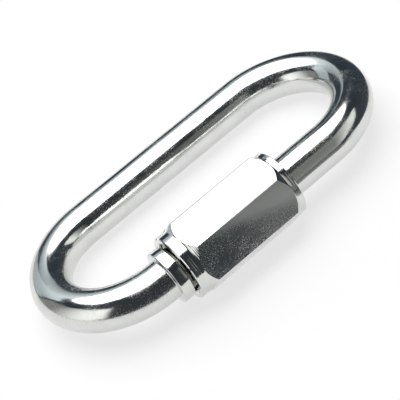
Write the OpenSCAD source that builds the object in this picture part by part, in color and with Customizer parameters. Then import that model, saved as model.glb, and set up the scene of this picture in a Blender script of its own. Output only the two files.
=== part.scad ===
// Chain quick link: one bent round bar whose two threaded ends are closed by a long hexagonal sleeve nut.
// It lies as it comes to rest: on the plain leg and on one corner of the nut.
// Origin: bottom centre of the outline. +X runs along the legs, from the collar towards the open side.

/* [Bent bar] */
// Diameter of the round bar
bar_d = 6; // [5:0.1:6.4]
// Length over the outside of both bows
link_length = 57; // [54:0.5:80]
// Distance between the centre lines of the two legs
leg_pitch = 21.5; // [19:0.5:26]

/* [Collar and thread ends] */
// Straight bar left between the bow and the collar
collar_start = 0.55; // [0.2:0.05:1.5]
// Diameter of the collar that faces the closed nut
collar_d = 8; // [7.8:0.1:9]
// Length of the collar along the leg
collar_length = 1.7; // [1:0.1:2.5]
// Width of the chamfer on both edges of the collar
collar_edge = 0.2; // [0.05:0.05:0.4]
// Mean diameter of the thread, which both ends show as a plain cylinder
thread_d = 7.2; // [6.8:0.1:7.6]
// Length of the short threaded end, from the collar to the opening
short_thread = 4; // [2.5:0.25:5]
// Width of the opening between the two ends
opening = 7.5; // [6.5:0.25:8]
// Length of the long threaded end, from the opening to the plain bar
long_thread = 6; // [4:0.25:7]
// Chamfer at the tip of both ends
tip_chamfer = 0.5; // [0.1:0.1:1]
// Length of the taper from the long thread down to the bar
taper_length = 0.8; // [0.3:0.1:1.5]

/* [Sleeve nut] */
// Width of the nut across its flats
nut_af = 10; // [9.6:0.1:12]
// Length of the nut from end to end
nut_length = 18.6; // [18:0.2:21]
// Gap between the collar and the closed nut
nut_gap = 0.4; // [0.1:0.05:0.8]
// Turn of the nut, from one flat lying level
nut_turn = 9.6; // [0:0.2:28]
// How far the round end bosses lie inside the flats
boss_step = 0.05; // [0.02:0.01:0.2]
// Length of the round boss that faces the collar
collar_boss = 1.5; // [0.5:0.1:2]
// Length of the round boss at the other end
open_boss = 1; // [0.5:0.1:2]
// Length of the chamfer from each boss up to the corners
corner_chamfer = 1.2; // [0.8:0.1:3]
// Radius of the slight crown that the chamfer is turned with
chamfer_crown = 12; // [10:1:30]
// Chamfer on the outer rim of each boss
rim_chamfer = 0.2; // [0.05:0.05:0.3]
// Play between the thread and the bore, on the radius
thread_play = 0.03; // [0.01:0.01:0.1]
// Width of the countersink at each mouth of the bore, on the radius
mouth_width = 0.65; // [0.3:0.05:0.7]

/* [Hidden] */
$fn = 96;
bar_r = bar_d / 2;
bow_r = leg_pitch / 2;
half_leg = (link_length - bar_d - leg_pitch) / 2;
collar_r = collar_d / 2;
thread_r = thread_d / 2;
// Distances along the threaded leg, from the end of the bow
collar_end = collar_start + collar_length;
nut_start = collar_end + nut_gap;
short_tip = collar_end + short_thread;
long_tip = short_tip + opening;
// Sections of the nut
bore_r = thread_r + thread_play;
mouth_r = bore_r + mouth_width;
corner_r = nut_af / 2 / cos(30);
boss_r = nut_af / 2 - boss_step;
// The crown passes through the boss's edge and the corner's end, and is measured from the boss's edge
crown_rise = corner_r - boss_r;
crown_chord = norm([crown_rise, corner_chamfer]);
crown_depth = sqrt(pow(chamfer_crown, 2) - pow(crown_chord / 2, 2));
crown_centre = [
    (boss_r + corner_r - 2 * crown_depth * corner_chamfer / crown_chord) / 2,
    (corner_chamfer + 2 * crown_depth * crown_rise / crown_chord) / 2
];
// The leg's axis stands over the nut's lowest corner, so the plane of the bar tilts
corner_lean = 30 - nut_turn;
nut_height = corner_r * cos(corner_lean);
rest_tilt = asin((nut_height - bar_r) / leg_pitch);
// Moves the outline's middle onto the origin
shift_y = (corner_r * cos(nut_turn) - bar_r) / 2;
threaded_y = shift_y - bow_r * cos(rest_tilt);

// Section of the short end: bar, collar, thread
short_end_profile = [
    [0, 0],
    [bar_r, 0],
    [bar_r, collar_start],
    [collar_r - collar_edge, collar_start],
    [collar_r, collar_start + collar_edge],
    [collar_r, collar_end - collar_edge],
    [collar_r - collar_edge, collar_end],
    [thread_r, collar_end],
    [thread_r, short_tip - tip_chamfer],
    [thread_r - tip_chamfer, short_tip],
    [0, short_tip]
];

// Section of the long end: thread, taper, bar
long_end_profile = [
    [0, long_tip],
    [thread_r - tip_chamfer, long_tip],
    [thread_r, long_tip + tip_chamfer],
    [thread_r, long_tip + long_thread - taper_length],
    [bar_r, long_tip + long_thread],
    [bar_r, 2 * half_leg],
    [0, 2 * half_leg]
];

// Core of the nut, as wide as its bosses
nut_core_profile = [
    [0, 0],
    [boss_r - rim_chamfer, 0],
    [boss_r, rim_chamfer],
    [boss_r, nut_length - rim_chamfer],
    [boss_r - rim_chamfer, nut_length],
    [0, nut_length]
];

// Bore of the nut with a countersink at both mouths
nut_bore_profile = [
    [0, 0],
    [mouth_r, 0],
    [bore_r, mouth_width],
    [bore_r, nut_length - mouth_width],
    [mouth_r, nut_length],
    [0, nut_length]
];

// A round solid along +X from its half section
module turned(profile) {
    rotate([0, 90, 0])
        rotate_extrude()
            polygon(profile);
}

// Half section of one half of the nut, crowned from its boss up past the corners
module crowned_half(boss) {
    translate([0, boss])
        intersection() {
            square([corner_r + crown_rise, nut_length / 2 - boss]);
            translate(crown_centre)
                circle(r = chamfer_crown);
        }
}

// Round blank that the hexagon is cut from
module nut_blank() {
    rotate([0, 90, 0])
        rotate_extrude() {
            polygon(nut_core_profile);
            crowned_half(collar_boss);
            translate([0, nut_length])
                mirror([0, 1])
                    crowned_half(open_boss);
        }
}

// From the plane of the bar to the way it lies
module lying() {
    translate([0, shift_y, bar_r + bow_r * sin(rest_tilt)])
        rotate([-rest_tilt, 0, 0])
            children();
}

// Half ring at the +X end
module bow() {
    translate([half_leg, 0, 0])
        rotate([0, 0, -90])
            rotate_extrude(angle = 180)
                translate([bow_r, 0])
                    circle(r = bar_r);
}

module link_bar() {
    color([0.74, 0.75, 0.76])
        lying() {
            bow();
            rotate([0, 0, 180])
                bow();
            translate([-half_leg, bow_r, 0])
                rotate([0, 90, 0])
                    cylinder(r = bar_r, h = 2 * half_leg);
            translate([-half_leg, -bow_r, 0])
                turned(short_end_profile);
            translate([-half_leg, -bow_r, 0])
                turned(long_end_profile);
        }
}

module sleeve_nut() {
    color([0.7, 0.71, 0.72])
        translate([nut_start - half_leg, threaded_y, nut_height])
            rotate([-corner_lean, 0, 0])
                difference() {
                    intersection() {
                        rotate([0, 90, 0])
                            cylinder(r = corner_r, h = nut_length, $fn = 6);
                        nut_blank();
                    }
                    turned(nut_bore_profile);
                }
}

link_bar();
sleeve_nut();
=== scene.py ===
# %% [markdown]
# # A chain quick link in bright zinc plate
# The real object is two pieces of steel: a round bar bent into a long ring, and a long hexagonal nut that
# bridges the gap between the bar's two threaded ends. Both are zinc plated, so the finish is close to a
# mirror, and almost all that the eye sees is what the metal reflects. The lesson therefore spends its
# effort on three things: smooth surfaces with true edges, a plated finish with the small marks of its
# making, and a table-top studio whose lamp, cards and dark surround give the metal something to reflect.

import math

import bmesh
import bpy
from mathutils import Matrix, Quaternion, Vector


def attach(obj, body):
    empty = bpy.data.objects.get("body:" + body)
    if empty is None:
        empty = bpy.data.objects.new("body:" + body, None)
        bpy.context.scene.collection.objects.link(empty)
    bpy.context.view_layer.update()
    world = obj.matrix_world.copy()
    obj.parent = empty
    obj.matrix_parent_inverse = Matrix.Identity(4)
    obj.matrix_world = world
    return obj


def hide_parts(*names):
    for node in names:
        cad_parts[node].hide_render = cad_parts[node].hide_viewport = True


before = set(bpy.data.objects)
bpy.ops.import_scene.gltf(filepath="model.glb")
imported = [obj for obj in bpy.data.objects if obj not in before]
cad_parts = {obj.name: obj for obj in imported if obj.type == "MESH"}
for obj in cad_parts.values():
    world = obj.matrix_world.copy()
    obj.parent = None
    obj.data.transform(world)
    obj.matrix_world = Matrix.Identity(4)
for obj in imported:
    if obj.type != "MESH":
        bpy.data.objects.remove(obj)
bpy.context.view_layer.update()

# %% [markdown]
# ## The sizes
# The mesh pieces stand for the solids, so they share their driving sizes, here in metres. The link lies
# on its plain leg and on one corner of the nut. The nut is wider than the bar, so the plane of the bar
# leans, and the same two lines of trigonometry that place the solids place the meshes.

# %% Sizes of the bar, the nut and the way they lie
MM = 0.001
BAR_R = 3.0 * MM
BOW_R = 10.75 * MM
HALF_LEG = 14.75 * MM
NUT_FLATS = 10.0 * MM
NUT_TURN = math.radians(9.6)
HALF_SIDE = math.radians(30)
CORNER_R = NUT_FLATS / 2 / math.cos(HALF_SIDE)
CORNER_LEAN = HALF_SIDE - NUT_TURN
NUT_HEIGHT = CORNER_R * math.cos(CORNER_LEAN)
REST_TILT = math.asin((NUT_HEIGHT - BAR_R) / (2 * BOW_R))
SHIFT_Y = (CORNER_R * math.cos(NUT_TURN) - BAR_R) / 2
PLANE_HEIGHT = BAR_R + BOW_R * math.sin(REST_TILT)
LIE_DOWN = Matrix.Translation((0, SHIFT_Y, PLANE_HEIGHT)) @ Matrix.Rotation(-REST_TILT, 4, "X")
print("the bar's plane leans by", round(math.degrees(REST_TILT), 2), "degrees")

# %% [markdown]
# ## The bent bar
# A bent bar is one circle carried along a path, so the mesh starts as one circle too. Straight stretches
# are extrusions of its ring of edges, the bows are half turns with spin, and the collar and the necks of
# the threads are rings that are scaled about the leg's axis, as a lathe would cut them. A curve with a
# bevel would give the plain bar quicker, but it couldn't step up to the collar with a crisp edge.

# %% A ring that can be carried along a leg
RING_SEGMENTS = 112
LEG_AXIS = Matrix.Translation((0, BOW_R, 0))


def new_ring(bm, x, radius):
    """A capped circle round the threaded leg's axis."""
    place = Matrix.Translation((x, -BOW_R, 0)) @ Matrix.Rotation(math.radians(90), 4, "Y")
    made = bmesh.ops.create_circle(bm, cap_ends=True, segments=RING_SEGMENTS, radius=radius, matrix=place)
    return ring_edges(made["verts"])


def ring_edges(verts):
    """The edges that run between these vertices only."""
    group = set(verts)
    return list({e for v in verts for e in v.link_edges if e.other_vert(v) in group})


def carry_ring(bm, ring, move, grow=1.0):
    """Extrudes a ring along X and scales the new one about the leg's axis."""
    made = bmesh.ops.extrude_edge_only(bm, edges=ring)["geom"]
    verts = [g for g in made if isinstance(g, bmesh.types.BMVert)]
    bmesh.ops.translate(bm, verts=verts, vec=(move, 0, 0))
    bmesh.ops.scale(bm, verts=verts, vec=(1, grow, grow), space=LEG_AXIS)
    return ring_edges(verts)


def bend_ring(bm, ring, centre_x, steps):
    """Carries a ring through half a turn round the centre of a bow."""
    made = bmesh.ops.spin(bm, geom=ring, cent=(centre_x, 0, 0), axis=(0, 0, 1), angle=-math.pi, steps=steps)
    return [g for g in made["geom_last"] if isinstance(g, bmesh.types.BMEdge)]


print("a ring has", RING_SEGMENTS, "segments")

# %% Carry the ring from the short end round to the long end
BOW_STEPS = 84
THREAD_ROOT_R = 3.3 * MM
TIP_R = 3.0 * MM
TIP_LENGTH = 0.35 * MM
COLLAR_R = 4.0 * MM
COLLAR_FACE_X = -12.5 * MM
COLLAR_BACK_X = -14.2 * MM
SHORT_TIP_X = -8.5 * MM
LONG_TIP_X = -1.0 * MM
LONG_THREAD_END_X = 4.4 * MM
TAPER_END_X = 5.0 * MM

bar_bm = bmesh.new()
ring = new_ring(bar_bm, SHORT_TIP_X, TIP_R)
ring = carry_ring(bar_bm, ring, -TIP_LENGTH, THREAD_ROOT_R / TIP_R)
ring = carry_ring(bar_bm, ring, COLLAR_FACE_X - SHORT_TIP_X + TIP_LENGTH)
collar_front = carry_ring(bar_bm, ring, 0, COLLAR_R / THREAD_ROOT_R)
collar_back = carry_ring(bar_bm, collar_front, COLLAR_BACK_X - COLLAR_FACE_X)
collar_foot = carry_ring(bar_bm, collar_back, 0, BAR_R / COLLAR_R)
ring = carry_ring(bar_bm, collar_foot, -HALF_LEG - COLLAR_BACK_X)
ring = bend_ring(bar_bm, ring, -HALF_LEG, BOW_STEPS)
ring = carry_ring(bar_bm, ring, 2 * HALF_LEG)
ring = bend_ring(bar_bm, ring, HALF_LEG, BOW_STEPS)
ring = carry_ring(bar_bm, ring, TAPER_END_X - HALF_LEG)
ring = carry_ring(bar_bm, ring, LONG_THREAD_END_X - TAPER_END_X, THREAD_ROOT_R / BAR_R)
ring = carry_ring(bar_bm, ring, LONG_TIP_X + TIP_LENGTH - LONG_THREAD_END_X)
ring = carry_ring(bar_bm, ring, -TIP_LENGTH, TIP_R / THREAD_ROOT_R)
bmesh.ops.holes_fill(bar_bm, edges=ring, sides=RING_SEGMENTS)
print("bar:", len(bar_bm.faces), "faces from one circle")

# %% [markdown]
# The collar's edges catch a thin bright line in the light, which a perfectly sharp edge can't show. A
# small bevel with a round profile gives both rims that line. The same operator on the inner corner makes
# the fillet where the collar meets the bar.

# %% Round the collar's rims
COLLAR_ROUND = 0.16 * MM
ROUND_SEGMENTS = 3
bmesh.ops.bevel(
    bar_bm,
    geom=collar_front + collar_back + collar_foot,
    offset=COLLAR_ROUND,
    affect="EDGES",
    segments=ROUND_SEGMENTS,
    profile=0.5,
    material=-1,
)
print("bar with rounded collar:", len(bar_bm.faces), "faces")

# %% [markdown]
# ## The thread
# A screw thread is one ridge wound round a core. Spin can push its copies along the axis while it turns
# them, so a trapezium of four vertices becomes the whole ridge in one call. The same helper makes the
# ridge inside the nut, half a pitch further on, so the two mesh. Both are counted from the collar's face,
# which keeps them in step. Vertices that stand above the tip's chamfer are drawn in to it, so the ridge
# runs out as a cut thread does.

# %% Wind a ridge
PITCH = 1.25 * MM
TURN_STEPS = 60


def wind_ridge(bm, first_x, last_x, base_r, crest_r, base_width, crest_width, offset=0.0):
    """Winds a helical ridge round the threaded leg, from first_x to last_x, and adds it to bm."""
    section = [(-base_width, base_r), (-crest_width, crest_r), (crest_width, crest_r), (base_width, base_r)]
    ridge = bmesh.new()
    corners = [ridge.verts.new((first_x + wide / 2, -BOW_R, radius)) for wide, radius in section]
    face = ridge.faces.new(corners)
    turned = 2 * math.pi * (first_x - COLLAR_FACE_X - offset) / PITCH
    centre = Vector((first_x, -BOW_R, 0))
    bmesh.ops.rotate(ridge, verts=ridge.verts, cent=centre, matrix=Matrix.Rotation(turned, 3, "X"))
    steps = round((last_x - first_x) / PITCH * TURN_STEPS)
    bmesh.ops.spin(
        ridge,
        geom=[face],
        cent=centre,
        axis=(1, 0, 0),
        dvec=(PITCH / TURN_STEPS, 0, 0),
        angle=2 * math.pi * steps / TURN_STEPS,
        steps=steps,
    )
    return add_mesh(bm, ridge)


def add_mesh(bm, other):
    """Copies another bmesh into this one and gives the new vertices."""
    carrier = bpy.data.meshes.new("carrier")
    other.to_mesh(carrier)
    other.free()
    before = set(bm.verts)
    bm.from_mesh(carrier)
    bpy.data.meshes.remove(carrier)
    return [v for v in bm.verts if v not in before]


def draw_in(verts, tip_x, tip_r):
    """Draws vertices in to a 45 degree chamfer that starts at tip_x with radius tip_r."""
    for v in verts:
        radius = math.hypot(v.co.y + BOW_R, v.co.z)
        limit = tip_r + abs(v.co.x - tip_x)
        if radius > limit:
            v.co.y = -BOW_R + (v.co.y + BOW_R) * limit / radius
            v.co.z *= limit / radius


print("a turn of thread has", TURN_STEPS, "steps and climbs", round(PITCH / MM, 2), "mm")

# %% Thread both ends of the bar
CREST_R = 3.95 * MM
RIDGE_SINK = 0.04 * MM
RIDGE_BASE_R = THREAD_ROOT_R - RIDGE_SINK
RIDGE_BASE = 0.94 * MM
RIDGE_CREST = 0.16 * MM
RUN_OUT_R = TIP_R + 0.2 * MM
END_ROOM = RIDGE_BASE / 2 + RIDGE_SINK

short_ridge = wind_ridge(
    bar_bm, COLLAR_FACE_X + END_ROOM, SHORT_TIP_X - END_ROOM, RIDGE_BASE_R, CREST_R, RIDGE_BASE, RIDGE_CREST
)
draw_in(short_ridge, SHORT_TIP_X, RUN_OUT_R)
draw_in(short_ridge, COLLAR_FACE_X, RIDGE_BASE_R)
long_ridge = wind_ridge(
    bar_bm, LONG_TIP_X + END_ROOM, LONG_THREAD_END_X, RIDGE_BASE_R, CREST_R, RIDGE_BASE, RIDGE_CREST
)
draw_in(long_ridge, LONG_TIP_X, RUN_OUT_R)
draw_in(long_ridge, TAPER_END_X, RIDGE_BASE_R)
print("threads:", len(short_ridge) + len(long_ridge), "vertices")

# %% [markdown]
# ## Where along the bar a point lies
# Drawn bar carries fine lines along its length, and they follow the bends. Object coordinates can't
# follow a bend, so each vertex gets its own: the distance along the bar's centre line, and its place
# across the section. The same measure tells which faces stand outside the plain bar, as the collar and
# the threads do. They get material slots of their own.

# %% Measure along the bar
OPENING_X = (SHORT_TIP_X + LONG_TIP_X) / 2


def along_bar(co):
    """Distance along the centre line from the threaded leg's middle, and the place across the section."""
    if abs(co.x) <= HALF_LEG:
        side = 1 if co.y > 0 else -1
        out = Vector((0, side, 0))
        centre = Vector((co.x, side * BOW_R, 0))
        distance = math.pi * BOW_R + 2 * HALF_LEG + co.x if side > 0 else -co.x
        if side < 0 and co.x > OPENING_X:
            distance += 2 * math.pi * BOW_R + 4 * HALF_LEG
    else:
        end = HALF_LEG if co.x > 0 else -HALF_LEG
        out = Vector((co.x - end, co.y, 0)).normalized()
        centre = Vector((end, 0, 0)) + out * BOW_R
        turn = math.atan2(out.y, abs(out.x))
        if co.x > 0:
            distance = math.pi * BOW_R + 3 * HALF_LEG + BOW_R * (math.pi / 2 - turn)
        else:
            distance = HALF_LEG + BOW_R * (turn + math.pi / 2)
    return Vector((distance, (co - centre).dot(out), co.z))


tips = [along_bar(Vector((x, -BOW_R, 0))).x for x in (SHORT_TIP_X, LONG_TIP_X)]
print("bar from tip to tip:", round((tips[1] - tips[0]) / MM, 1), "mm along its centre line")

# %% Store the drawing direction and mark the turned faces
COLLAR_SLOT, THREAD_SLOT = 1, 2
TURNED_RISE = 0.05 * MM
PAST_FACE = 0.01 * MM

bmesh.ops.recalc_face_normals(bar_bm, faces=bar_bm.faces)
for face in bar_bm.faces:
    middle = face.calc_center_median()
    place = along_bar(middle)
    if math.hypot(place.y, place.z) > BAR_R + TURNED_RISE:
        face.material_index = THREAD_SLOT if middle.x > COLLAR_FACE_X + PAST_FACE else COLLAR_SLOT
drawn = bar_bm.verts.layers.float_vector.new("drawn")
for v in bar_bm.verts:
    v[drawn] = along_bar(v.co)
bmesh.ops.transform(bar_bm, matrix=LIE_DOWN, verts=bar_bm.verts)
print("turned faces on the bar:", sum(face.material_index > 0 for face in bar_bm.faces))

# %% Finish the bar's mesh
BAR_CREASE = math.radians(40)


def to_object(name, bm):
    """Turns a bmesh into an object at the origin."""
    mesh = bpy.data.meshes.new(name)
    bm.to_mesh(mesh)
    bm.free()
    thing = bpy.data.objects.new(name, mesh)
    bpy.context.scene.collection.objects.link(thing)
    return thing


def finish_piece(name, bm, sharp_angle):
    """A piece of the link, shaded smooth with creases at its true edges."""
    piece = to_object(name, bm)
    piece.data.shade_smooth()
    piece.data.set_sharp_from_angle(angle=sharp_angle)
    flatten = piece.modifiers.new("flat faces stay flat", "WEIGHTED_NORMAL")
    flatten.keep_sharp = True
    print(name, "has", len(piece.data.polygons), "faces")
    return piece


bent_bar = finish_piece("bent_bar", bar_bm, BAR_CREASE)
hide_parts("link_bar")
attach(bent_bar, "bar")

# %% [markdown]
# ## The sleeve nut
# A nut like this is turned and bored from hexagon bar. The lathe leaves a round boss at each end and cuts
# the six corners back along a cone, and where that cone leaves a flat it draws a bow-shaped line. The
# mesh is made in the same order: a hexagon is extruded, a turned tube is spun from its section, and what
# the two have in common is the nut. The Boolean modifier finds those curved lines exactly, which moving
# vertices by hand would not.

# %% The hexagon bar
NUT_LENGTH = 18.6 * MM
NUT_START_X = -12.1 * MM
HEX_SPARE = 2.0 * MM
CORNER_ROUND = 0.22 * MM
FLAT_SLOT, TURNED_SLOT = 0, 1
CORNER_DOWN = Matrix.Rotation(math.radians(90), 4, "Y") @ Matrix.Rotation(math.radians(90), 4, "Z")

hex_bm = bmesh.new()
bmesh.ops.create_circle(hex_bm, cap_ends=True, segments=6, radius=CORNER_R, matrix=CORNER_DOWN)
bmesh.ops.translate(hex_bm, verts=hex_bm.verts, vec=(-HEX_SPARE, 0, 0))
made = bmesh.ops.extrude_face_region(hex_bm, geom=hex_bm.faces[:])["geom"]
far_end = [g for g in made if isinstance(g, bmesh.types.BMVert)]
bmesh.ops.translate(hex_bm, verts=far_end, vec=(NUT_LENGTH + 2 * HEX_SPARE, 0, 0))
corner_edges = [e for e in hex_bm.edges if abs(e.verts[0].co.x - e.verts[1].co.x) > NUT_LENGTH]
bmesh.ops.bevel(
    hex_bm,
    geom=corner_edges,
    offset=CORNER_ROUND,
    affect="EDGES",
    segments=ROUND_SEGMENTS,
    profile=0.5,
    material=-1,
)
bmesh.ops.recalc_face_normals(hex_bm, faces=hex_bm.faces)
print("hexagon bar:", len(hex_bm.faces), "faces,", len(corner_edges), "rounded corners")

# %% The turned tube
BOSS_STEP = 0.05 * MM
BOSS_R = NUT_FLATS / 2 - BOSS_STEP
COLLAR_BOSS = 1.5 * MM
OPEN_BOSS = 1.0 * MM
CORNER_CHAMFER = 1.2 * MM
CROWN_R = 12.0 * MM
CROWN_POINTS = 9
CROWN_REACH = 1.9 * MM
BORE_R = 4.05 * MM
MOUTH_R = 4.28 * MM
TURNED_STEPS = 192

rise = CORNER_R - BOSS_R
chord = math.hypot(rise, CORNER_CHAMFER)
depth = math.sqrt(CROWN_R**2 - (chord / 2) ** 2)
crown_centre_x = CORNER_CHAMFER / 2 + depth * rise / chord
crown_centre_r = (BOSS_R + CORNER_R) / 2 - depth * CORNER_CHAMFER / chord


def tube_end(boss):
    """Half of the tube's section: the mouth of the bore, the boss, and the crown up past the corners."""
    crown = []
    for k in range(CROWN_POINTS):
        past_boss = CROWN_REACH * k / (CROWN_POINTS - 1)
        radius = crown_centre_r + math.sqrt(CROWN_R**2 - (past_boss - crown_centre_x) ** 2)
        crown.append((boss + past_boss, radius))
    return [(MOUTH_R - BORE_R, BORE_R), (0, MOUTH_R), (0, BOSS_R)] + crown


section = tube_end(COLLAR_BOSS) + [(NUT_LENGTH - x, radius) for x, radius in reversed(tube_end(OPEN_BOSS))]
tube_bm = bmesh.new()
outline = [tube_bm.verts.new((x, 0, radius)) for x, radius in section]
loop = [tube_bm.edges.new((a, b)) for a, b in zip(outline, outline[1:] + outline[:1])]
bmesh.ops.spin(
    tube_bm,
    geom=loop,
    cent=(0, 0, 0),
    axis=(1, 0, 0),
    angle=2 * math.pi,
    steps=TURNED_STEPS,
    use_merge=True,
)
bmesh.ops.recalc_face_normals(tube_bm, faces=tube_bm.faces)
print("turned tube:", len(tube_bm.faces), "faces")

# %% [markdown]
# The lathe breaks the outer rim of each boss with a flat chamfer, and the round nose of its tool leaves a
# small fillet in the corner behind the boss. The chamfer is a bevel of one segment and the fillet one of
# several. Both are made on the tube, while its edges are still whole circles that are easy to find.

# %% Break the rims of both bosses, and fill the inner corner behind each
RIM_CHAMFER = 0.12 * MM
BOSS_FILLET = 0.14 * MM
FILLET_SEGMENTS = 4
NEAR = 0.01 * MM


def on_circle(vert, x, radius):
    """True if a vertex of the tube lies on this circle of its outline."""
    return abs(vert.co.x - x) < NEAR and abs(math.hypot(vert.co.y, vert.co.z) - radius) < NEAR


def bevel_circles(places, offset, segments):
    """Bevels the circles of the boss's radius that lie at these places along the nut."""
    edges = [e for e in tube_bm.edges for x in places if all(on_circle(v, x, BOSS_R) for v in e.verts)]
    bmesh.ops.bevel(
        tube_bm, geom=edges, offset=offset, affect="EDGES", segments=segments, profile=0.5, material=-1
    )
    return len(edges)


bevelled = bevel_circles((0, NUT_LENGTH), RIM_CHAMFER, 1)
bevelled += bevel_circles((COLLAR_BOSS, NUT_LENGTH - OPEN_BOSS), BOSS_FILLET, FILLET_SEGMENTS)
for face in tube_bm.faces:
    face.material_index = TURNED_SLOT
print("bevelled:", bevelled, "edges")

# %% Keep what the hexagon and the tube share
MERGE_DISTANCE = 0.001 * MM


def temporary(name, bm):
    """An object to cut with, which is removed again."""
    thing = to_object(name, bm)
    for slot_name in ("flats", "turned"):
        thing.data.materials.append(bpy.data.materials.get(slot_name) or bpy.data.materials.new(slot_name))
    return thing


hexagon = temporary("hexagon_bar", hex_bm)
tube = temporary("turned_tube", tube_bm)
common = tube.modifiers.new("hexagon", "BOOLEAN")
common.object = hexagon
common.operation = "INTERSECT"
common.solver = "EXACT"
cut_mesh = bpy.data.meshes.new_from_object(tube.evaluated_get(bpy.context.evaluated_depsgraph_get()))
nut_bm = bmesh.new()
nut_bm.from_mesh(cut_mesh)
for thing in (hexagon, tube):
    bpy.data.objects.remove(thing)
bmesh.ops.remove_doubles(nut_bm, verts=nut_bm.verts, dist=MERGE_DISTANCE)
flats = [f for f in nut_bm.faces if f.material_index == FLAT_SLOT]
print("nut:", len(nut_bm.faces), "faces, of which", len(flats), "belong to the flats and their corners")

# %% [markdown]
# The nut was made along X from the origin, so it is now turned and moved to its place on the leg. Its own
# thread is the same ridge, pointing inwards and half a pitch on. It stops short of both mouths, and
# further at the open end, where the bow begins to curve inside the bore when the nut is screwed all the
# way back.

# %% Place the nut and wind its inner thread
NUT_CREST_R = 3.4 * MM
NUT_RIDGE_SINK = 0.05 * MM
NUT_RIDGE_BASE_R = BORE_R + NUT_RIDGE_SINK
NUT_RIDGE_BASE = 1.06 * MM
NUT_RIDGE_CREST = 0.31 * MM
PLAIN_MOUTH = 0.6 * MM
PLAIN_END = 2.2 * MM
THREADED_Y = SHIFT_Y - BOW_R * math.cos(REST_TILT)

on_leg = Matrix.Translation((NUT_START_X, THREADED_Y, NUT_HEIGHT))
bmesh.ops.transform(nut_bm, matrix=on_leg @ Matrix.Rotation(-CORNER_LEAN, 4, "X"), verts=nut_bm.verts)
nut_ridge = wind_ridge(
    nut_bm,
    NUT_START_X + PLAIN_MOUTH,
    NUT_START_X + NUT_LENGTH - PLAIN_END,
    NUT_RIDGE_BASE_R,
    NUT_CREST_R,
    NUT_RIDGE_BASE,
    NUT_RIDGE_CREST,
    offset=PITCH / 2,
)
bmesh.ops.transform(nut_bm, matrix=LIE_DOWN, verts=nut_ridge)
ridge_faces = list({f for v in nut_ridge for f in v.link_faces})
for face in ridge_faces:
    face.material_index = TURNED_SLOT
bmesh.ops.recalc_face_normals(nut_bm, faces=ridge_faces)
print("inner thread:", len(ridge_faces), "faces")

# %% Finish the nut's mesh
NUT_CREASE = math.radians(22)
sleeve = finish_piece("sleeve", nut_bm, NUT_CREASE)
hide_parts("sleeve_nut")
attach(sleeve, "nut")

# %% [markdown]
# ## Zinc plate
# Bright zinc is a mirror with faults: crystals that the eye can just part make it sharp here and frosted
# there, so dark reflections look speckled, and a cloudy film leaves some patches duller and yellower than
# others. Both pieces came out of the same bath, so this is one node group with its own inputs, and each
# material adds the marks of its own making on top.

# %% The shared plating group


def add_socket(group, name, in_out, kind, value=None):
    """One named socket on a node group."""
    socket = group.interface.new_socket(name=name, in_out=in_out, socket_type=kind)
    if value is not None:
        socket.default_value = value


plating = bpy.data.node_groups.new("bright_zinc", "ShaderNodeTree")
add_socket(plating, "Position", "INPUT", "NodeSocketVector")
add_socket(plating, "Grain Scale", "INPUT", "NodeSocketFloat", 4500.0)
add_socket(plating, "Frost Scale", "INPUT", "NodeSocketFloat", 7000.0)
add_socket(plating, "Cloud Scale", "INPUT", "NodeSocketFloat", 260.0)
add_socket(plating, "Cover", "INPUT", "NodeSocketFloat", 0.0)
add_socket(plating, "Clear Tint", "INPUT", "NodeSocketColor", (0.705, 0.715, 0.705, 1))
add_socket(plating, "Cloudy Tint", "INPUT", "NodeSocketColor", (0.665, 0.675, 0.65, 1))
add_socket(plating, "Clear Roughness", "INPUT", "NodeSocketFloat", 0.08)
add_socket(plating, "Cloudy Roughness", "INPUT", "NodeSocketFloat", 0.25)
add_socket(plating, "Color", "OUTPUT", "NodeSocketColor")
add_socket(plating, "Roughness", "OUTPUT", "NodeSocketFloat")
add_socket(plating, "Grain", "OUTPUT", "NodeSocketFloat")
into = plating.nodes.new("NodeGroupInput")
out = plating.nodes.new("NodeGroupOutput")
link = plating.links.new
print("plating sockets:", [item.name for item in plating.interface.items_tree])

# %% Noises in the group
FROST_RANGE = (0.52, 0.74)
FROST_LEVELS = (0.35, 1.35)
CLOUD_RANGE = (0.38, 0.7)


def group_noise(scale_socket, detail):
    """A noise in the group, with its scale from one of the group's inputs."""
    noise = plating.nodes.new("ShaderNodeTexNoise")
    noise.inputs["Detail"].default_value = detail
    link(into.outputs["Position"], noise.inputs["Vector"])
    link(into.outputs[scale_socket], noise.inputs["Scale"])
    return noise.outputs["Fac"]


def stretched(tree, value, limits, levels=(0.0, 1.0), interpolation="LINEAR"):
    """A Map Range node: takes a value from its two limits to two levels, and no further."""
    stretch = tree.nodes.new("ShaderNodeMapRange")
    stretch.interpolation_type = interpolation
    stretch.inputs["From Min"].default_value, stretch.inputs["From Max"].default_value = limits
    stretch.inputs["To Min"].default_value, stretch.inputs["To Max"].default_value = levels
    tree.links.new(value, stretch.inputs["Value"])
    return stretch.outputs["Result"]


grain = group_noise("Grain Scale", detail=2.0)
frost = stretched(plating, group_noise("Frost Scale", detail=1.0), FROST_RANGE, FROST_LEVELS)
clouds = stretched(plating, group_noise("Cloud Scale", detail=4.0), CLOUD_RANGE)
print("noises in the plating: grain, frost in", FROST_RANGE, "and clouds in", CLOUD_RANGE)

# %% Outputs of the group


def combined(tree, operation, first, second, clamp=False):
    """A Math node on two sockets."""
    node = tree.nodes.new("ShaderNodeMath")
    node.operation = operation
    node.use_clamp = clamp
    tree.links.new(first, node.inputs[0])
    tree.links.new(second, node.inputs[1])
    return node.outputs[0]


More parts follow.
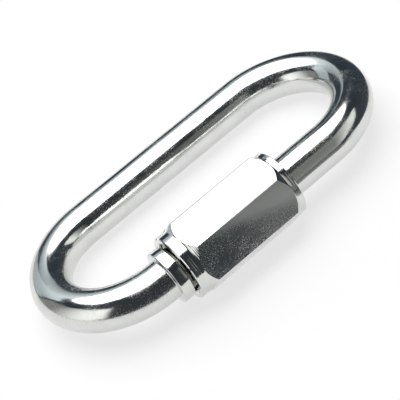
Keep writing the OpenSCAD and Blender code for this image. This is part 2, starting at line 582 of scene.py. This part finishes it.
tint = plating.nodes.new("ShaderNodeMix")
tint.data_type = "RGBA"
link(clouds, tint.inputs[0])
link(into.outputs["Clear Tint"], tint.inputs[6])
link(into.outputs["Cloudy Tint"], tint.inputs[7])
covered = combined(plating, "ADD", clouds, into.outputs["Cover"], clamp=True)
haze = combined(plating, "MULTIPLY", covered, frost)
blur = plating.nodes.new("ShaderNodeMix")
blur.data_type = "FLOAT"
link(haze, blur.inputs[0])
link(into.outputs["Clear Roughness"], blur.inputs[2])
link(into.outputs["Cloudy Roughness"], blur.inputs[3])
link(tint.outputs[2], out.inputs["Color"])
link(blur.outputs[0], out.inputs["Roughness"])
link(grain, out.inputs["Grain"])
print("plating group:", len(plating.nodes), "nodes")

# %% A plated material with the shared group in it


def plated_material(name, **values):
    """A metal whose colour, roughness and grain come from the plating group."""
    material = bpy.data.materials.get(name) or bpy.data.materials.new(name)
    material.use_nodes = True
    nodes, links = material.node_tree.nodes, material.node_tree.links
    shader = nodes["Principled BSDF"]
    shader.inputs["Metallic"].default_value = 1.0
    bath = nodes.new("ShaderNodeGroup")
    bath.node_tree = plating
    for socket, value in values.items():
        bath.inputs[socket.replace("_", " ").title()].default_value = value
    place = nodes.new("ShaderNodeTexCoord")
    links.new(place.outputs["Object"], bath.inputs["Position"])
    links.new(bath.outputs["Color"], shader.inputs["Base Color"])
    links.new(bath.outputs["Roughness"], shader.inputs["Roughness"])
    return material, shader, bath


def bump_stack(material, shader, layers):
    """Bump nodes one on the other: each layer is a socket that gives a height, and its depth in metres."""
    nodes, links = material.node_tree.nodes, material.node_tree.links
    below = None
    for height, depth in layers:
        bump = nodes.new("ShaderNodeBump")
        bump.inputs["Distance"].default_value = depth
        links.new(height, bump.inputs["Height"])
        if below:
            links.new(below.outputs["Normal"], bump.inputs["Normal"])
        below = bump
    links.new(below.outputs["Normal"], shader.inputs["Normal"])


def squeezed_noise(material, vector, scale, detail):
    """A noise that is squeezed and stretched by a Mapping node, for marks that run one way."""
    nodes, links = material.node_tree.nodes, material.node_tree.links
    squeeze = nodes.new("ShaderNodeMapping")
    squeeze.inputs["Scale"].default_value = scale
    marks = nodes.new("ShaderNodeTexNoise")
    marks.inputs["Scale"].default_value = 1.0
    marks.inputs["Detail"].default_value = detail
    links.new(vector, squeeze.inputs["Vector"])
    links.new(squeeze.outputs["Vector"], marks.inputs["Vector"])
    return marks.outputs["Fac"]


print("plating is shared by materials through the group", plating.name)

# %% [markdown]
# ## The bar's finish
# The bar was drawn through a die before it was bent, so long faint lines run along it. A noise that is
# squeezed across the bar and stretched along it draws them, in the coordinates that the mesh carries.

# %% Finish the bar
MICRON = 0.000001
DRAWN_SQUEEZE = (200.0, 3200.0, 3200.0)
DRAWN_DEPTH = 5 * MICRON
BAR_GRAIN_DEPTH = 4 * MICRON
bar_finish, bar_shader, bar_bath = plated_material(
    "zinc_on_drawn_bar", cover=0.25, clear_roughness=0.06, cloudy_roughness=0.37
)
course = bar_finish.node_tree.nodes.new("ShaderNodeAttribute")
course.attribute_name = "drawn"
lines = squeezed_noise(bar_finish, course.outputs["Vector"], DRAWN_SQUEEZE, detail=3.0)
bump_stack(
    bar_finish, bar_shader, [(lines, DRAWN_DEPTH), (bar_bath.outputs["Grain"], BAR_GRAIN_DEPTH)]
)
bent_bar.data.materials.append(bar_finish)
print("bar finish:", bar_finish.name)

# %% [markdown]
# ## The turned finish
# The bosses and cones of the nut, and the bar's collar and threads, were cut on a lathe, so fine rings
# run round the axis. The axis lies along X, so a noise that is squeezed along X alone gives rings. A Map
# Range makes the grooves narrow and steep, so that their flanks catch a card that the surface around them
# doesn't see. The nut's grooves are deep, and the collar's are polished almost away. The bar's threads sit
# in the gap between collar and nut and inside the bore, so their colour is darkened as painted shade.

# %% Finish the turned surfaces
RING_SQUEEZE = (5000.0, 40.0, 40.0)
GROOVE_RANGE = (0.4, 0.56)
TURNED_GRAIN_DEPTH = 3 * MICRON
NUT_RING_DEPTH = 12 * MICRON
BAR_RING_DEPTH = 3 * MICRON
# The threads' darker tints are painted shade for the gap and the bore they sit in.
SHADED_THREAD_CLEAR = (0.3, 0.29, 0.27, 1)
SHADED_THREAD_CLOUDY = (0.22, 0.21, 0.19, 1)


def turned_finish(name, ring_depth, **values):
    """A turned and plated surface with rings of this depth round the X axis."""
    material, shader, bath = plated_material(name, clear_roughness=0.05, cloudy_roughness=0.2, **values)
    where = material.node_tree.nodes.new("ShaderNodeTexCoord")
    rings = squeezed_noise(material, where.outputs["Object"], RING_SQUEEZE, detail=1.0)
    grooves = stretched(material.node_tree, rings, GROOVE_RANGE)
    bump_stack(material, shader, [(grooves, ring_depth), (bath.outputs["Grain"], TURNED_GRAIN_DEPTH)])
    return material


bent_bar.data.materials.append(turned_finish("collar", BAR_RING_DEPTH))
# The threads get the darker tints: painted shade for the gap between collar and nut.
bent_bar.data.materials.append(
    turned_finish("thread_painted_shade", BAR_RING_DEPTH, clear_tint=SHADED_THREAD_CLEAR, cloudy_tint=SHADED_THREAD_CLOUDY)
)
nut_turned = turned_finish("turned", NUT_RING_DEPTH)
print("turned finishes:", [m.name for m in bent_bar.data.materials[1:]] + [nut_turned.name])

# %% [markdown]
# ## The flats
# The flats keep the skin of the rolled hexagon. Low on each flat it is a sharp grain that sparkles, and
# towards the upper end it is worn to a duller, smoother grey. A mask that grows along the nut and upwards
# mixes the two.

# %% A mask for the worn skin
WORN_DIRECTION = (62.0, 0.0, 185.0)


def along_direction(tree, direction):
    """How far a point lies along a direction, in the object's own coordinates."""
    where = tree.nodes.new("ShaderNodeTexCoord")
    reach = tree.nodes.new("ShaderNodeVectorMath")
    reach.operation = "DOT_PRODUCT"
    reach.inputs[1].default_value = direction
    tree.links.new(where.outputs["Object"], reach.inputs[0])
    return reach.outputs["Value"]


flat_finish, flat_shader, flat_bath = plated_material(
    "flats",
    grain_scale=6500.0,
    frost_scale=6500.0,
    cover=0.5,
    clear_roughness=0.02,
    cloudy_roughness=0.33,
)
flat_tree = flat_finish.node_tree
height = along_direction(flat_tree, WORN_DIRECTION)
print("the flats wear along", WORN_DIRECTION)

# %% Finish the flats
WORN_RANGE = (1.15, 1.62)
WORN_ROUGHNESS = 0.44
WORN_GRAIN = 0.3
FLAT_GRAIN_DEPTH = 15 * MICRON
dulled = flat_tree.nodes.new("ShaderNodeMix")
dulled.data_type = "FLOAT"
dulled.inputs[3].default_value = WORN_ROUGHNESS
flat_tree.links.new(stretched(flat_tree, height, WORN_RANGE), dulled.inputs[0])
flat_tree.links.new(flat_bath.outputs["Roughness"], dulled.inputs[2])
flat_tree.links.new(dulled.outputs[0], flat_shader.inputs["Roughness"])
crispness = stretched(flat_tree, height, WORN_RANGE, levels=(1.0, WORN_GRAIN))
crisp_grain = combined(flat_tree, "MULTIPLY", crispness, flat_bath.outputs["Grain"])
bump_stack(flat_finish, flat_shader, [(crisp_grain, FLAT_GRAIN_DEPTH)])
for finish in (flat_finish, nut_turned):
    sleeve.data.materials.append(finish)
print("nut finishes:", [m.name for m in sleeve.data.materials])

# %% [markdown]
# ## The table
# The link lies near the front corner of a white table. The picture should show a white ground with a soft
# shadow on it, so for rays that come from the camera, or from a mirror, part of the table's white is
# emission that no shadow can dim. Other rays meet plain white paint and bounce a plain amount of light up
# under the bar. In an oval round the link about two thirds of the white is glow, so the shadow shows
# there. Further out all of it is glow, so the ground runs out into even white.

# %% The white table
TABLE_SIDE = 0.3
TABLE_MIDDLE = (-0.107, 0.112, 0)


def flat_sheet(name, size, middle=(0, 0, 0)):
    """A flat rectangle of this size, with its middle here."""
    sheet_bm = bmesh.new()
    bmesh.ops.create_grid(sheet_bm, x_segments=1, y_segments=1, size=0.5)
    bmesh.ops.scale(sheet_bm, verts=sheet_bm.verts, vec=(*size, 1))
    bmesh.ops.translate(sheet_bm, verts=sheet_bm.verts, vec=middle)
    return to_object(name, sheet_bm)


table = flat_sheet("table", (TABLE_SIDE, TABLE_SIDE), TABLE_MIDDLE)
print("table:", TABLE_SIDE, "m square")

# %% Its paint
TABLE_PAINT = (0.92, 0.92, 0.9062, 1)
PAINT_ROUGHNESS = 0.9
GLOW_OVAL = (0.8, 1, 1)
GLOW_REACH = (24 * MM, 34 * MM)
GLOW_SHARES = (0.68, 1.0)


def seen_rays(tree):
    """1 for rays from the camera, a mirror or a glass, 0 for the rest."""
    path = tree.nodes.new("ShaderNodeLightPath")
    seen = combined(tree, "MAXIMUM", path.outputs["Is Camera Ray"], path.outputs["Is Glossy Ray"])
    return combined(tree, "MAXIMUM", seen, path.outputs["Is Transmission Ray"])


paint = bpy.data.materials.new("white_table")
paint.use_nodes = True
nodes, links = paint.node_tree.nodes, paint.node_tree.links
paint_shader = nodes["Principled BSDF"]
paint_shader.inputs["Base Color"].default_value = TABLE_PAINT
paint_shader.inputs["Roughness"].default_value = PAINT_ROUGHNESS
spot = nodes.new("ShaderNodeTexCoord")
oval = nodes.new("ShaderNodeMapping")
oval.inputs["Scale"].default_value = GLOW_OVAL
reach = nodes.new("ShaderNodeVectorMath")
reach.operation = "LENGTH"
links.new(spot.outputs["Object"], oval.inputs["Vector"])
links.new(oval.outputs["Vector"], reach.inputs[0])
share = stretched(paint.node_tree, reach.outputs["Value"], GLOW_REACH, GLOW_SHARES)
seen_share = combined(paint.node_tree, "MULTIPLY", seen_rays(paint.node_tree), share)
glow = nodes.new("ShaderNodeEmission")
blend = nodes.new("ShaderNodeMixShader")
links.new(seen_share, blend.inputs["Fac"])
links.new(paint_shader.outputs["BSDF"], blend.inputs[1])
links.new(glow.outputs["Emission"], blend.inputs[2])
links.new(blend.outputs["Shader"], nodes["Material Output"].inputs["Surface"])
table.data.materials.append(paint)
print("table painted, with", GLOW_SHARES[0], "of its white as glow near the link")

# %% [markdown]
# ## The lamp
# Mirror metal is lit by what stands round it. A wide soft lamp overhead gives the broad white highlight
# along the bar and the white upper flat of the nut. A round softbox would do, so this is an area lamp in
# the form of an ellipse. Its power is worked out from the radiance that its reflection should have, which
# stays the same when the lamp is made larger or smaller.

# %% The overhead lamp


def facing(place, aim, roll=0.0):
    """The turn that points a lamp's or a card's -Z from a place to an aim."""
    return (Vector(aim) - Vector(place)).to_track_quat("-Z", "Y") @ Quaternion((0, 0, 1), roll)


LAMP_PLACE = (0.04, 0.136, 0.32)
LAMP_SIZE = (0.46, 0.47)
LAMP_RADIANCE = 3.1
lamp_data = bpy.data.lights.new("overhead", "AREA")
lamp_data.shape = "ELLIPSE"
lamp_data.size, lamp_data.size_y = LAMP_SIZE
lamp_data.energy = LAMP_RADIANCE * math.pi * (math.pi / 4) * LAMP_SIZE[0] * LAMP_SIZE[1]
lamp = bpy.data.objects.new("overhead", lamp_data)
lamp.location = LAMP_PLACE
lamp.rotation_mode = "QUATERNION"
lamp.rotation_quaternion = facing(LAMP_PLACE, (LAMP_PLACE[0], LAMP_PLACE[1], 0))
bpy.context.scene.collection.objects.link(lamp)
print("lamp power:", round(lamp_data.energy, 3), "W")

# %% [markdown]
# ## The cards
# White cards to the left, to the front right and behind give the bright patches in the bows. Paper that
# stands at an angle to its lamp isn't lit evenly, and a mirror shows that, so each card glows from one
# level to another along a direction of its own. A plane with an emission ramp is simpler to steer than a
# real card with a real lamp. The camera doesn't see the cards, because from other sides they would stand
# in its way.

# %% Paper with a gradient


def glowing_paper(name, axis, reach, levels, colour, soft_edge):
    """Paper that glows from one level to another, between two distances along an axis.

    A soft edge is the distance where the glow ends and the one where it is whole again.
    """
    paper = bpy.data.materials.new(name)
    paper.use_nodes = True
    tree = paper.node_tree
    tree.nodes.remove(tree.nodes["Principled BSDF"])
    along = along_direction(tree, (*axis, 0))
    strength = stretched(tree, along, reach, levels, interpolation="SMOOTHSTEP")
    if soft_edge:
        whole = stretched(tree, along, soft_edge, interpolation="SMOOTHSTEP")
        strength = combined(tree, "MULTIPLY", whole, strength)
    light = tree.nodes.new("ShaderNodeEmission")
    light.inputs["Color"].default_value = (*colour, 1)
    tree.links.new(strength, light.inputs["Strength"])
    tree.links.new(light.outputs["Emission"], tree.nodes["Material Output"].inputs["Surface"])
    return paper


def paper_card(name, place, size, aim, axis, reach, levels, colour, roll=0.0, soft_edge=None):
    """A sheet of glowing paper that stands at a place and faces an aim."""
    card = flat_sheet(name, size)
    card.location = place
    card.rotation_mode = "QUATERNION"
    card.rotation_quaternion = facing(place, aim, roll)
    card.visible_camera = False
    card.data.materials.append(glowing_paper(name, axis, reach, levels, colour, soft_edge))
    print(name, "glows from", levels[0], "to", levels[1])
    return card


# %% [markdown]
# Each card's place was found from the reflections: the mirror's normal at a bright patch tells where its
# light comes from. The card at the front right is rolled and a little olive, the ones behind are cool.
# The strip lies across the table's front edge, where the straight bar beside the nut would else mirror a
# dark line. Only mirrors see it.

# %% Place the cards
PLAIN = (0.995, 1.0, 0.98)
OLIVE = (0.97, 1.0, 0.95)
COOL = (0.9, 1.0, 1.04)
paper_card(
    "left_card",
    place=(-0.16, 0.055, 0.0695),
    size=(0.3, 0.129),
    aim=(0, 0.055, 0.0695),
    axis=(1, 0),
    reach=(-0.075, 0.085),
    levels=(0.28, 1.36),
    colour=PLAIN,
    soft_edge=(0.15, 0.11),
)
paper_card(
    "right_card",
    place=(0.294, -0.205, 0.149),
    size=(0.51, 0.286),
    aim=(0.356, -0.095, -0.006),
    axis=(0.979, -0.204),
    reach=(-0.305, -0.026),
    levels=(0.03, 1.06),
    colour=OLIVE,
    roll=math.radians(44.6),
)
paper_card(
    "back_card",
    place=(-0.084, 0.205, 0.095),
    size=(0.114, 0.17),
    aim=(-0.084, 0, 0.095),
    axis=(0, 1),
    reach=(-0.03, 0.08),
    levels=(0.56, 0.95),
    colour=COOL,
)
paper_card(
    "back_strip",
    place=(0.0365, 0.21, 0.14),
    size=(0.127, 0.1),
    aim=(0.0365, 0, 0.14),
    axis=(0, 1),
    reach=(-0.05, 0.045),
    levels=(0.4, 0.9),
    colour=COOL,
)
front_strip = paper_card(
    "front_strip",
    place=(0.02, -0.043, 0.0003),
    size=(0.024, 0.034),
    aim=(0.02, -0.043, 1),
    axis=(0, 1),
    reach=(-0.017, 0.017),
    levels=(0.21, 0.23),
    colour=OLIVE,
)
front_strip.visible_shadow = False
front_strip.visible_diffuse = False

# %% [markdown]
# ## The dark surround
# A photographer hangs dark cloth round shiny metal, and its reflection is the dark band that shows the
# bar as round. Here it is one open cylinder. Its cloth glows faintly, a little bluer behind than in front,
# which is painted light for the dim light that falls on it. It stays out of the camera's sight.

# %% The dark curtain
CURTAIN_R = 0.75
CURTAIN_HEIGHT = 2.4
CURTAIN_MIDDLE = 0.8
curtain_bm = bmesh.new()
bmesh.ops.create_cone(
    curtain_bm,
    cap_ends=False,
    segments=96,
    radius1=CURTAIN_R,
    radius2=CURTAIN_R,
    depth=CURTAIN_HEIGHT,
    matrix=Matrix.Translation((0, 0, CURTAIN_MIDDLE)),
)
bmesh.ops.reverse_faces(curtain_bm, faces=curtain_bm.faces)
curtain = to_object("curtain", curtain_bm)
curtain.visible_camera = False
print("curtain:", len(curtain.data.polygons), "faces")

# %% Its cloth
CLOTH_COLOUR = (0.065, 0.08, 0.088, 1)
FRONT_CLOTH_GLOW = (0.0255, 0.027, 0.0305, 1)
BACK_CLOTH_GLOW = (0.017, 0.025, 0.036, 1)
BACKWARDS = (0, 1, 0)
cloth = bpy.data.materials.new("dark_cloth")
cloth.use_nodes = True
cloth_tree = cloth.node_tree
cloth_shader = cloth_tree.nodes["Principled BSDF"]
cloth_shader.inputs["Base Color"].default_value = CLOTH_COLOUR
cloth_shader.inputs["Roughness"].default_value = 1.0
# The cloth glows faintly in a front and a back colour: painted light on the cloth, bluer behind.
cloth_shader.inputs["Emission Strength"].default_value = 1.0
behind = stretched(cloth_tree, along_direction(cloth_tree, BACKWARDS), (-CURTAIN_R / 2, CURTAIN_R / 2))
shade = cloth_tree.nodes.new("ShaderNodeMix")
shade.data_type = "RGBA"
shade.inputs[6].default_value = FRONT_CLOTH_GLOW
shade.inputs[7].default_value = BACK_CLOTH_GLOW
cloth_tree.links.new(behind, shade.inputs[0])
cloth_tree.links.new(shade.outputs[2], cloth_shader.inputs["Emission Color"])
curtain.data.materials.append(cloth)
print("cloth:", cloth.name)

# %% [markdown]
# ## The world
# Past the table's edges the camera should see white, so for its rays, and for mirrors that look out over
# the curtain, the world has a strength of 1. For all other rays it is only a weak fill.

# %% A white world behind the table
FILL_LEVEL = 0.3
world = bpy.data.worlds.new("studio")
world.use_nodes = True
bpy.context.scene.world = world
sky = world.node_tree.nodes["Background"]
sky.inputs["Color"].default_value = (1, 1, 1, 1)
strength = stretched(world.node_tree, seen_rays(world.node_tree), (0.0, 1.0), (FILL_LEVEL, 1.0))
world.node_tree.links.new(strength, sky.inputs["Strength"])
print("world fill:", FILL_LEVEL)

# %% [markdown]
# ## The camera
# A long lens from the collar side, a little above forty degrees, and rolled so that the link runs from
# the lower left to the upper right of the picture.

# %% Camera
CAMERA_AZIMUTH = math.radians(-109.99)
CAMERA_ELEVATION = math.radians(41.83)
CAMERA_ROLL = math.radians(-26.06)
CAMERA_DISTANCE = 213.6 * MM
CAMERA_TARGET = Vector((-1.48, 0.70, 2.96)) * MM
CAMERA_LENS = 138.3
SENSOR_WIDTH = 36.0
CLIP_START = 10 * MM

towards = Vector(
    (
        math.cos(CAMERA_ELEVATION) * math.cos(CAMERA_AZIMUTH),
        math.cos(CAMERA_ELEVATION) * math.sin(CAMERA_AZIMUTH),
        math.sin(CAMERA_ELEVATION),
    )
)
camera_data = bpy.data.cameras.new("camera")
camera_data.lens = CAMERA_LENS
camera_data.sensor_width = SENSOR_WIDTH
camera_data.clip_start = CLIP_START
camera = bpy.data.objects.new("camera", camera_data)
camera.location = CAMERA_TARGET + towards * CAMERA_DISTANCE
camera.rotation_mode = "QUATERNION"
camera.rotation_quaternion = (-towards).to_track_quat("-Z", "Y") @ Quaternion((0, 0, 1), CAMERA_ROLL)
bpy.context.scene.collection.objects.link(camera)
bpy.context.scene.camera = camera
bpy.context.scene.view_settings.view_transform = "Standard"
print("camera stands at", [round(c, 4) for c in camera.location])
